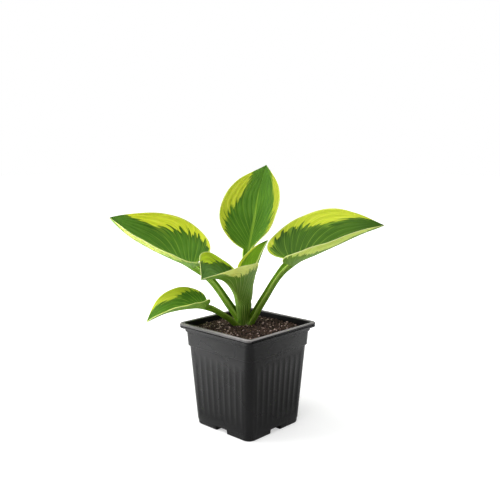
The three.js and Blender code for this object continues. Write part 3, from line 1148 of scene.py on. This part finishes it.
@dataclass
class Leaf:
    """A hosta leaf: channelled stalk and ribbed heart-shaped blade, along one midrib.

    Lengths are in millimetres and angles in degrees. Each point of the path is its reach
    from the crown, its height and its place to the left.
    """

    name: str
    heading: float
    stalk: float
    half_width: float
    round: float  # how blunt the outline is at the base
    point: float  # how sharp it is at the tip
    path: tuple[Point, ...]
    roll: Pair  # at the blade's base and at its tip
    left: HalfBlade
    right: HalfBlade
    finish: LeafFinish
    lobe: float = 0.0  # how far the margin reaches back beside the stalk
    far_lobe: float | None = None  # the right half's own, where it differs
    curl: float = 1.4  # how late a half bends towards its margin
    stalk_half: float = 4.2
    sheath: float = 1.25  # how much wider the stalk is at its foot
    wing: float = 0.5  # and what it gains on the way to the blade
    channel: Pair = (30.0, 80.0)  # the stalk's slopes, at its middle and its edges
    branching: Pair = (0.32, 0.42)  # where the veins leave the midrib, and how long they take
    crowding: float = 1.3  # how the places where they leave draw together
    outer_lead: float = 0.3  # how much sooner the veins past the margin leave
    split: float = 0.02  # keeps veins apart where they run side by side
    vein_range: float = 2.4  # the veins past the margin run out beside the stalk
    vein_samples: int = 480
    columns: int = 112
    rows: int = 180
    steps: int = 40  # places on the midrib between two points of the path
    relief: float = 0.13  # the pleats' height
    relief_fade: Pair = (1.0, 0.25)
    ripple: float = 0.4  # the margin's waves, and how many there are
    ripples: float = 3.2
    opening: Pair = (-0.04, 0.1)  # where the stalk opens, before and past the blade's base
    wing_length: float = 0.12
    foot_fade: float = 0.3  # how far into the blade the stalk's width carries on
    tip_half: float = 0.35
    edge_thick: Pair = (1.2, 0.45)  # on the stalk and on the blade
    keel_thick: Pair = (2.7, 1.5)
    keel_sharp: Pair = (2.0, 7.0)
    tip_thin: float = 0.45

    def _midrib(self) -> tuple[np.ndarray, np.ndarray]:
        """Draws a smooth line through the points of the path.

        Returns:
            Places on it, a small step apart, and how far along it each lies.
        """
        turn = math.radians(self.heading)
        out = np.array([math.cos(turn), math.sin(turn), 0.0])
        left = np.array([-out[1], out[0], 0.0])
        foot = np.array([CROWN_PLACE[0] / MM, CROWN_PLACE[1] / MM, 0.0])
        knots = np.array(
            [foot + reach * out + aside * left + (0, 0, up) for reach, up, aside in self.path]
        )
        knots = np.vstack([2 * knots[0] - knots[1], knots, 2 * knots[-1] - knots[-2]])
        spans = len(self.path) - 1
        share = np.linspace(0, spans, self.steps * spans + 1)
        index = np.minimum(share.astype(int), spans - 1)
        f = (share - index)[:, None]
        before, start, end, after = (knots[index + k] for k in range(4))
        leaving, arriving = (end - before) / 2, (after - start) / 2
        line = (
            (2 * start - 2 * end + leaving + arriving) * f**3
            + (3 * end - 3 * start - 2 * leaving - arriving) * f**2
            + leaving * f
            + start
        )
        gone = np.concatenate([[0], np.cumsum(np.linalg.norm(np.diff(line, axis=0), axis=1))])
        return line, gone

    def _course(self, share: np.ndarray) -> Course:
        """Sets the leaf's directions along its midrib.

        Args:
            share: Each row's share of the midrib's length.

        Returns:
            The midrib, row by row.
        """
        line, gone = self._midrib()
        length = float(gone[-1])
        along = unit(read_off(share * length, gone, np.gradient(line, gone, axis=0)))
        turn = math.radians(self.heading)
        level = np.array([-math.sin(turn), math.cos(turn), 0.0])
        across = unit(level - (along @ level)[:, None] * along)
        up = np.cross(along, across)
        start = self.stalk / length
        blade = (share - start) / (1 - start)
        roll = np.radians(blend(*self.roll, np.clip(blade, 0, 1)))[:, None]
        return Course(
            read_off(share * length, gone, line),
            along,
            across * np.cos(roll) + up * np.sin(roll),
            up * np.cos(roll) - across * np.sin(roll),
            blade,
            start,
        )

    def _outline(self, blade: np.ndarray) -> np.ndarray:
        """The blade's width as a share of its widest.

        Args:
            blade: Each row's place on the blade.

        Returns:
            The share, row by row.
        """
        t = np.clip(blade, 0, 1)
        widest = self.round / (self.round + self.point)
        return (t / widest) ** self.round * ((1 - t) / (1 - widest)) ** self.point

    @staticmethod
    def _through(values: Triple, t: np.ndarray) -> np.ndarray:
        """A curve through a value at the base, the middle and the tip."""
        base, middle, tip = values
        return base + (4 * middle - 3 * base - tip) * t + (2 * tip + 2 * base - 4 * middle) * t * t

    def _veins(self, blade: np.ndarray, reach: np.ndarray) -> np.ndarray:
        """Which side vein each place lies on, from 0 at the midrib to 1 at the margin.

        A side vein leaves the midrib, swings out to its own share of the width and
        keeps it up to the tip. The outer veins leave first, and the outermost run out
        at the margin beside the stalk.

        Args:
            blade: Each row's place on the blade.
            reach: Each column's share of the half width.

        Returns:
            The vein number by row and column.
        """
        leaving, swinging = self.branching
        number = np.linspace(0, self.vein_range, self.vein_samples)
        inner = leaving * np.maximum(0, 1 - number) ** self.crowding
        leaves_at = inner - self.outer_lead * np.maximum(0, number - 1) - self.split
        rows = []
        for t in np.clip(blade, 0, 1):
            swing = ease(0.0, 1.0, 0.5 + 0.5 * (t - leaves_at) / swinging) * 2 - 1
            swung = number * np.clip(swing, 0, 1) + number * self.split
            rows.append(np.interp(reach, swung, number))
        return np.array(rows)

    def _surface(self) -> tuple[np.ndarray, np.ndarray, np.ndarray, np.ndarray]:
        """Works out the leaf's upper face.

        Returns:
            The places by row and column, the thickness there, the vein numbers, and each
            row's place on the blade.
        """
        share = np.linspace(0, 1, self.rows + 1)
        course = self._course(share)
        start = course.start
        t = np.clip(course.blade, 0, 1)
        outline = self._outline(course.blade)
        opened = ease(start + self.opening[0], start + self.opening[1], share)
        wing = 1 + self.wing * ease(start - self.wing_length, start, share)
        foot = self.stalk_half * wing * blend(self.sheath, 1, ease(0, start * 0.8, share))
        foot = foot * (1 - ease(start, start + self.foot_fade, share))
        half = (self.half_width * outline + foot + self.tip_half)[:, None]
        count = self.columns // 2
        r = np.linspace(0, 1, count + 1)
        vein = self._veins(course.blade, r)
        pleat = -np.cos(2 * np.pi * self.finish.veins * vein) * ease(0, 0.06, r)
        pleat = self.relief * pleat * blend(*self.relief_fade, ease(0.3, 0.95, t))[:, None]
        wave = np.sin(2 * np.pi * (self.ripples * t + 0.13 * self.heading))[:, None] * r**3
        surface = np.zeros((self.rows + 1, self.columns + 1, 3))
        for side, sign in ((self.left, 1), (self.right, -1)):
            rise = blend(self.channel[0], blend(*side.rise, t), opened)[:, None]
            rim = blend(self.channel[1], self._through(side.rim, t), opened)[:, None]
            slope = np.radians(rise + (rim - rise) * r**self.curl)
            middle = (slope[:, 1:] + slope[:, :-1]) / 2
            x = run_up(np.cos(middle)) / count * half
            y = run_up(np.sin(middle)) / count * half
            slope[:, 0] = 0  # so that both halves share one normal along the midrib
            normal = (
                course.up[:, None, :] * np.cos(slope)[..., None]
                - sign * course.across[:, None, :] * np.sin(slope)[..., None]
            )
            lobe = self.far_lobe if sign < 0 and self.far_lobe is not None else self.lobe
            back = (lobe * outline * (1 - t) ** 6)[:, None] * r**2
            lift = (pleat + self.ripple * sign * wave) * (opened * outline)[:, None]
            surface[:, count + sign * np.arange(count + 1)] = (
                course.centre[:, None, :]
                + sign * course.across[:, None, :] * x[..., None]
                + course.up[:, None, :] * y[..., None]
                - course.along[:, None, :] * back[..., None]
                + normal * lift[..., None]
            )
        edge = blend(*self.edge_thick, opened)[:, None]
        keel = (blend(*self.keel_thick, opened) * blend(1, self.tip_thin, t))[:, None]
        reach = np.abs(np.linspace(-1, 1, self.columns + 1))[None, :]
        sharp = blend(*self.keel_sharp, opened)[:, None]
        thick = edge + np.maximum(keel - edge, 0) * (1 - reach**2) ** sharp
        return surface, thick, np.hstack([vein[:, :0:-1], vein]), course.blade

    def build(self) -> Piece:
        """Shapes a grid into the leaf, gives it its thickness and dresses both faces.

        A blade that turns, cups and tapers all at once is beyond what extruding and
        scaling by hand can give, so the grid's points are set from the leaf's curves.

        Returns:
            The finished leaf.
        """
        release()
        bpy.ops.mesh.primitive_grid_add(
            x_subdivisions=self.columns, y_subdivisions=self.rows, size=2.0
        )
        leaf = named(f"{self.name}_blade")
        surface, thick, veins, blade = self._surface()
        mesh = leaf.data
        flat = np.zeros(3 * len(mesh.vertices))
        mesh.vertices.foreach_get("co", flat)
        flat = flat.reshape(-1, 3)
        column = np.rint((1 - flat[:, 0]) / 2 * self.columns).astype(int)
        row = np.rint((flat[:, 1] + 1) / 2 * self.rows).astype(int)
        mesh.vertices.foreach_set("co", (surface[row, column] * MM).ravel())
        carried = {
            "across": column / self.columns * 2 - 1,
            "along": blade[row],
            "vein": veins[row, column],
        }
        for name, values in carried.items():
            mesh.attributes.new(name, "FLOAT", "POINT").data.foreach_set("value", values)
        most = float(thick.max())
        weights = leaf.vertex_groups.new(name="thickness")
        for index, value in enumerate(thick[row, column] / most):
            weights.add([index], float(value), "REPLACE")
        dress(leaf, *(self.finish.make(self.name, face) for face in Surface))
        carry_out(
            leaf,
            "SOLIDIFY",
            thickness=most * MM,
            offset=-1.0,
            vertex_group="thickness",
            material_offset=1,
            material_offset_rim=1,
        )
        leaf.vertex_groups.clear()
        soften(leaf, 55)
        settle(leaf, self.name)
        return leaf


def the_leaves() -> list[Leaf]:
    """The six leaves, each with its own path and margin.

    Returns:
        The leaves, the large ones first.
    """
    return [
        Leaf(
            "leaf_upright", heading=123, stalk=76.1, half_width=34.3, round=0.66, point=1.11,
            path=((5, 86, 0), (16.5, 112.5, 3), (31.5, 147.5, 3.5), (47, 181.5, 0), (68.5, 209, -1),
                  (90.5, 235, -5)),
            roll=(-16, -4),
            left=HalfBlade(rise=(44, 29), rim=(38, 48, 11)),
            right=HalfBlade(rise=(38, 24), rim=(32, 29, 28)),
            finish=LeafFinish(
                left_edge=((0.0, 0.93), (0.06, 0.88), (0.14, 0.83), (0.22, 0.76), (0.3, 0.68),
                           (0.4, 0.58), (0.5, 0.52), (0.62, 0.52), (0.7, 0.6), (0.79, 0.76),
                           (0.88, 1.02), (1.0, 1.1)),
                right_edge=((0.0, 0.95), (0.1, 0.88), (0.22, 0.81), (0.34, 0.76), (0.44, 0.72),
                            (0.54, 0.71), (0.66, 0.77), (0.78, 0.86), (0.93, 0.97), (1.0, 1.1)),
                # the right half is painted darker and duller: painted shade
                seed=1.7, spikes=0.4, teeth=9.5, right_shade=0.9, green_yellow=srgb(158, 168, 44),
            ),
            stalk_half=3.5,
        ),
        Leaf(
            "leaf_left", heading=219, stalk=75.5, half_width=37.6, round=0.52, point=0.94,
            path=((0.5, 87, 0.5), (13.8, 106, 0), (35.5, 134.5, -1), (68, 153.5, 0),
                  (98.5, 171.5, 2), (123.5, 189, 3)),
            roll=(-8.5, -9.5),
            left=HalfBlade(rise=(19, -4), rim=(44, 50, 72)),
            right=HalfBlade(rise=(32, 48), rim=(52, 60, 52)),
            finish=LeafFinish(
                left_edge=((0.0, 0.97), (0.2, 0.95), (0.8, 0.94), (0.95, 1.0), (1.0, 1.1)),
                right_edge=((0.0, 0.96), (0.06, 0.92), (0.14, 0.84), (0.2, 0.76), (0.28, 0.68),
                            (0.38, 0.58), (0.5, 0.54), (0.6, 0.57), (0.72, 0.66), (0.82, 0.74),
                            (0.9, 0.98), (1.0, 1.1)),
                left_under=((0.0, 1.0), (0.08, 0.94), (0.16, 0.82), (0.3, 0.7), (0.6, 0.68),
                            (0.8, 0.82), (0.95, 1.0)),
                # this leaf's yellows are painted paler than the others' and its lower face's yellow
                # darker: painted light and painted shade for how the lamps fall on it
                seed=4.1, spikes=0.3, yellow=srgb(222, 230, 56), pale_yellow=srgb(234, 238, 92),
                under_yellow=srgb(188, 204, 104),
            ),
            lobe=30, curl=1.8,
        ),
        Leaf(
            "leaf_right", heading=35, stalk=74.7, half_width=40, round=0.52, point=1.04,
            path=((2.8, 86, 0), (18, 114.5, -1), (37, 143, 0), (70, 162.5, 2.5), (102, 178.5, -1.5),
                  (123.5, 184.5, 2.5)),
            roll=(22, 12),
            left=HalfBlade(rise=(20, 39), rim=(28, 49, 39)),
            right=HalfBlade(rise=(23, -3), rim=(76, 62, 64)),
            finish=LeafFinish(
                left_edge=((0.0, 0.95), (0.06, 0.88), (0.14, 0.88), (0.22, 0.84), (0.28, 0.72),
                           (0.36, 0.62), (0.46, 0.58), (0.55, 0.62), (0.65, 0.68), (0.8, 0.78),
                           (0.88, 0.84), (0.94, 1.02), (1.0, 1.1)),
                right_edge=((0.0, 0.97), (0.3, 0.95), (0.8, 0.94), (0.95, 1.0), (1.0, 1.1)),
                right_under=((0.0, 1.0), (0.06, 0.97), (0.14, 0.84), (0.25, 0.72), (0.5, 0.68),
                             (0.75, 0.8), (0.95, 1.0)),
                seed=8.6, spikes=0.28, patch_at=0.38, vein_strength=0.5, green=srgb(64, 102, 20),
                deep_green=srgb(42, 78, 14),
            ),
            lobe=45, far_lobe=20, curl=1.8,
        ),
        Leaf(
            "leaf_front", heading=275.7, stalk=24.7, half_width=32.5, round=1.0, point=0.99,
            path=((4.3, 86, -0.5), (7, 105.2, 0.6), (12, 121, 0.5), (25, 132.4, 2.8),
                  (43.3, 141, 4.8), (67.5, 144, 7.1)),
            roll=(0.3, -16.4),
            left=HalfBlade(rise=(72.6, 24.9), rim=(138.7, 47.3, 58.9)),
            right=HalfBlade(rise=(-7, 22.4), rim=(154.5, 65.2, 61.6)),
            finish=LeafFinish(
                left_edge=((0.0, 1.05), (0.1, 0.96), (0.5, 0.93), (0.9, 0.92), (1.0, 1.1)),
                right_edge=((0.0, 1.05), (0.1, 0.96), (0.26, 0.93), (0.36, 0.9), (0.43, 0.82),
                            (0.5, 0.7), (0.58, 0.6), (0.66, 0.66), (0.74, 0.79), (0.84, 0.95),
                            (1.0, 1.08)),
                left_under=((0.0, 1.1), (0.2, 1.04), (0.26, 0.94), (0.3, 0.78), (0.34, 0.58),
                            (0.38, 0.4), (0.45, 0.28), (0.6, 0.24), (0.76, 0.5), (0.9, 0.9),
                            (1.0, 1.1)),
                right_under=((0.0, 1.1), (0.5, 1.05), (1.0, 1.1)),
                stalk_highlight=0.1, vein_strength=0.9, fine_under=0.3, funnel_lines=0.75,
                stalk_green=srgb(80, 120, 22), cream_from=0.2, seed=12.3, spikes=0.22,
                # the greens are greyed towards blue for a painted sheen, and the lower face's
                # yellow is painted paler still: painted light
                green=srgb(98, 138, 66), deep_green=srgb(66, 106, 40),
                yellow=srgb(212, 238, 52), under_yellow=srgb(242, 252, 140),
                under_green=srgb(98, 144, 34),
            ),
            curl=0.83, stalk_half=9.9, sheath=0.7, wing=0.36, channel=(-10.5, 130.6),
        ),
        Leaf(
            "leaf_inner", heading=83, stalk=45, half_width=13.3, round=0.55, point=0.94,
            path=((0, 86, 0), (3, 108, 1), (9.5, 130, 3.5), (15, 143, 3), (21.5, 156, 2.2),
                  (29, 166.5, 2)),
            roll=(25, 15),
            left=HalfBlade(rise=(11, 6), rim=(25, 24, 14)),
            right=HalfBlade(rise=(50, 45), rim=(125, 84, 76)),
            finish=LeafFinish(
                left_edge=((0.0, 1.0), (0.1, 0.84), (0.8, 0.84), (0.95, 1.0), (1.0, 1.1)),
                right_edge=((0.0, 1.0), (0.1, 0.9), (0.8, 0.88), (1.0, 1.1)),
                seed=15.9, spikes=0.05, green=srgb(116, 158, 22), deep_green=srgb(88, 128, 12),
            ),
            stalk_half=3.2, columns=64, rows=110, relief=0.15, ripple=0.2,
        ),
        Leaf(
            "leaf_low", heading=243, stalk=44.3, half_width=23.5, round=0.63, point=0.86,
            path=((4.5, 87, 1.5), (19, 100, 6), (37, 111, 8), (55.5, 112, 6), (75, 108.5, 3),
                  (91, 101, -1)),
            roll=(10, 5),
            left=HalfBlade(rise=(19, 16), rim=(15, 5, 22)),
            right=HalfBlade(rise=(36, 29), rim=(48, 69, 22)),
            finish=LeafFinish(
                left_edge=((0.0, 1.0), (0.1, 0.93), (0.3, 0.87), (0.8, 0.85), (1.0, 0.88)),
                right_edge=((0.0, 1.0), (0.1, 0.93), (0.2, 0.86), (0.3, 0.76), (0.4, 0.62),
                            (0.52, 0.56), (0.62, 0.66), (0.78, 0.8), (0.92, 0.9), (1.0, 0.95)),
                left_under=((0.0, 1.0), (0.15, 0.9), (0.3, 0.7), (0.8, 0.6), (1.0, 0.8)),
                seed=19.2, spikes=0.3, green=srgb(78, 124, 24),
            ),
            lobe=12, stalk_half=2.9, sheath=0.95, wing=0.25,
        ),
    ]


# ---- crown


@dataclass
class Crown:
    """The crown between the stalks: a short body of overlapping sheaths.

    The profile is given by radius and height, in millimetres, and the earth's stain by
    the heights in metres where it ends and where it is full.
    """

    profile: Profile = (
        (6.4, 84.0), (7.4, 88.0), (7.6, 90.5), (7.2, 92.5), (6.2, 94.6), (4.8, 96.4), (3.0, 97.6),
    )
    sides: int = 72
    green: Colour = srgb(92, 126, 20)
    light: Colour = srgb(128, 160, 52)
    earth: Colour = srgb(92, 80, 48)
    earth_span: Pair = (0.0935, 0.0895)
    folds: int = 6
    fold_depth: float = 0.09
    fold_twist: float = 60.0  # radians to a metre of height
    cap_inset: float = 1.5
    relief: float = 0.0003

    def _material(self) -> Material:
        """Builds the finish of the sheaths, which are stained with earth at the foot.

        Returns:
            The material.
        """
        bench = Bench("crown_sheaths")
        stretch = {0: bench.place(), 1: (1.0, 1.0, 0.12)}
        drawn = bench.node("ShaderNodeVectorMath", {"operation": "MULTIPLY"}, stretch)
        fibres = bench.speckle(drawn, 700.0, 3.0)
        green = bench.tint(self.green, self.light, fibres.step(0.4, 0.75))
        stain = bench.coordinate("Z").step(*self.earth_span) * 0.8
        return bench.finish(
            {
                "Base Color": bench.tint(green, self.earth, stain),
                "Roughness": 0.5,
                "Specular IOR Level": 0.35,
            },
            fibres,
            self.relief,
        )

    def build(self) -> Piece:
        """Draws the crown up from a disc, ring by ring, and folds its wall.

        Returns:
            The finished crown.
        """
        release()
        radius, low = self.profile[0]
        bpy.ops.mesh.primitive_circle_add(
            vertices=self.sides, radius=radius * MM, fill_type="NGON", location=(0, 0, low * MM)
        )
        crown = named("crown_sheaths")
        bpy.ops.object.transform_apply(location=True, rotation=False, scale=False)
        with at_the_bench(crown):
            for (last_radius, last), (next_radius, up) in zip(self.profile, self.profile[1:]):
                climb = {"value": (0, 0, (up - last) * MM)}
                bpy.ops.mesh.extrude_region_move(TRANSFORM_OT_translate=climb)
                ratio = next_radius / last_radius
                bpy.ops.transform.resize(
                    value=(ratio, ratio, 1), center_override=(0, 0, up * MM)
                )
            bpy.ops.mesh.inset(thickness=self.cap_inset * MM)
            face_outwards()
        for vert in crown.data.vertices:
            turn = math.atan2(vert.co.y, vert.co.x)
            bulge = abs(math.sin(self.folds / 2 * turn + vert.co.z * self.fold_twist)) - 0.5
            fold = 1 + self.fold_depth * bulge
            vert.co.x = vert.co.x * fold + CROWN_PLACE[0]
            vert.co.y = vert.co.y * fold + CROWN_PLACE[1]
        soften(crown, 50)
        dress(crown, self._material())
        settle(crown, "crown")
        return crown


# ---- studio


@dataclass(frozen=True)
class Panel:
    """A square soft light.

    Its size is in metres, its brightness is how bright its face is, where white is 1, and
    its spread is the angle that its light keeps to, in degrees. Its spot and the place
    that it faces are given as the camera sees them: to the right, away and up.
    """

    name: str
    size: float
    brightness: float
    spot: Point
    aim: Point = (0.0, 0.0, 0.1)
    spread: float = 180.0


@dataclass
class Studio:
    """A plain pale floor, soft light from the left and above, and the camera.

    The camera's distance, height and shift are in millimetres, its angles in degrees.
    """

    azimuth: float = 43.3
    distance: float = 599.3
    eye_height: float = 248.8
    aside: float = 2.0
    pitch: float = 8.308
    lens: float = 48.63
    floor_half: float = 6.0
    floor_shade: float = 0.62
    floor_glow: float = 0.5
    floor_fade: Pair = (0.15, 0.7)
    sky: float = 0.22
    panels: tuple[Panel, ...] = (
        Panel("left_panel", 1.0, 2.2, (-1.0, 0.12, 0.5)),
        Panel("left_strip", 0.4, 3.0, (-0.5, -0.01, 0.15), (0, 0, 0.06)),
        Panel("right_strip", 0.3, 1.6, (0.5, 0.2, 0.15), (0, 0, 0.06)),
        Panel("left_floor", 0.26, 3.6, (-0.31, -0.03, 0.3), (-0.31, -0.03, 0), spread=60),
        Panel("right_floor", 0.26, 2.6, (0.33, 0.12, 0.3), (0.33, 0.12, 0), spread=60),
        Panel("back_panel", 0.8, 1.2, (0.45, 1.0, 0.32)),
        Panel("top_panel", 1.3, 2.3, (-0.3, -0.1, 1.5)),
        Panel("front_panel", 0.9, 3.8, (-0.25, -0.9, 1.35), (0, 0, 0.15)),
    )

    def _place(self, right: float, away: float, up: float) -> Point:
        """Turns a place as the camera sees it into one in the plant's frame.

        Args:
            right: How far to the right, in metres.
            away: How far away from the camera, past the pot's axis.
            up: The height.

        Returns:
            The place.
        """
        turn = math.radians(self.azimuth)
        return (
            right * math.cos(turn) - away * math.sin(turn),
            right * math.sin(turn) + away * math.cos(turn),
            up,
        )

    def _hang(self, panel: Panel) -> None:
        """Hangs one of the lights.

        Args:
            panel: The light.
        """
        data = bpy.data.lights.new(panel.name, "AREA")
        data.shape = "SQUARE"
        data.size = panel.size
        data.energy = panel.brightness * math.pi * panel.size * panel.size
        data.spread = math.radians(panel.spread)
        lamp = bpy.data.objects.new(panel.name, data)
        bpy.context.collection.objects.link(lamp)
        lamp.location = self._place(*panel.spot)
        facing = Vector(self._place(*panel.aim)) - lamp.location
        lamp.rotation_euler = facing.to_track_quat("-Z", "Y").to_euler()

    def _floor(self) -> None:
        """Lays the floor, which shows white but throws back less."""
        release()
        bpy.ops.mesh.primitive_plane_add(size=2 * self.floor_half, location=(0, 0, 0))
        floor = named("studio_floor")
        bench = Bench("studio_floor")
        far = bench.node(
            "ShaderNodeVectorMath", {"operation": "LENGTH"}, {0: bench.place()}, out="Value"
        )
        seen = bench.node("ShaderNodeLightPath", out="Is Camera Ray")
        glow = bench.tint((self.floor_glow,) * 3, (1.1, 1.1, 1.1), far.step(*self.floor_fade))
        sockets = {
            "Base Color": (self.floor_shade,) * 3,
            "Roughness": 0.9,
            "Specular IOR Level": 0.1,
            "Emission Color": bench.tint((0.0, 0.0, 0.0), glow, seen),
            "Emission Strength": 1.0,
        }
        dress(floor, bench.finish(sockets))

    def _sky(self) -> None:
        """Surrounds the scene with white that lights it less than it shows."""
        world = bpy.data.worlds.new("studio")
        bpy.context.scene.world = world
        world.use_nodes = True
        nodes, links = world.node_tree.nodes, world.node_tree.links
        nodes.clear()
        output = nodes.new("ShaderNodeOutputWorld")
        mixer = nodes.new("ShaderNodeMixShader")
        path = nodes.new("ShaderNodeLightPath")
        for index, strength in enumerate((self.sky, 1.0)):
            white = nodes.new("ShaderNodeBackground")
            white.inputs["Color"].default_value = (1, 1, 1, 1)
            white.inputs["Strength"].default_value = strength
            links.new(white.outputs[0], mixer.inputs[1 + index])
        links.new(path.outputs["Is Camera Ray"], mixer.inputs[0])
        links.new(mixer.outputs[0], output.inputs["Surface"])

    def _camera(self) -> None:
        """Sets up the camera."""
        data = bpy.data.cameras.new("camera")
        data.sensor_width = 36.0
        data.lens = self.lens
        data.clip_start = 0.01
        camera = bpy.data.objects.new("camera", data)
        bpy.context.collection.objects.link(camera)
        camera.location = self._place(self.aside * MM, -self.distance * MM, self.eye_height * MM)
        camera.rotation_euler = (math.radians(90 - self.pitch), 0, math.radians(self.azimuth))
        bpy.context.scene.camera = camera

    def build(self) -> None:
        """Sets up the studio round the plant."""
        bpy.context.scene.view_settings.view_transform = "Standard"
        self._floor()
        self._sky()
        for panel in self.panels:
            self._hang(panel)
        self._camera()
        log.info("studio: floor, sky, %d lights and camera", len(self.panels))


def main() -> None:
    """Builds the potted hosta and its studio."""
    logging.basicConfig(level=logging.INFO, format="%(name)s: %(message)s")
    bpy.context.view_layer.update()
    Studio().build()
    Pot().build()
    soil = Soil()
    soil.build_bed()
    soil.build_crumbs()
    Crown().build()
    for leaf in the_leaves():
        leaf.build()


if __name__ == "__main__":
    main()
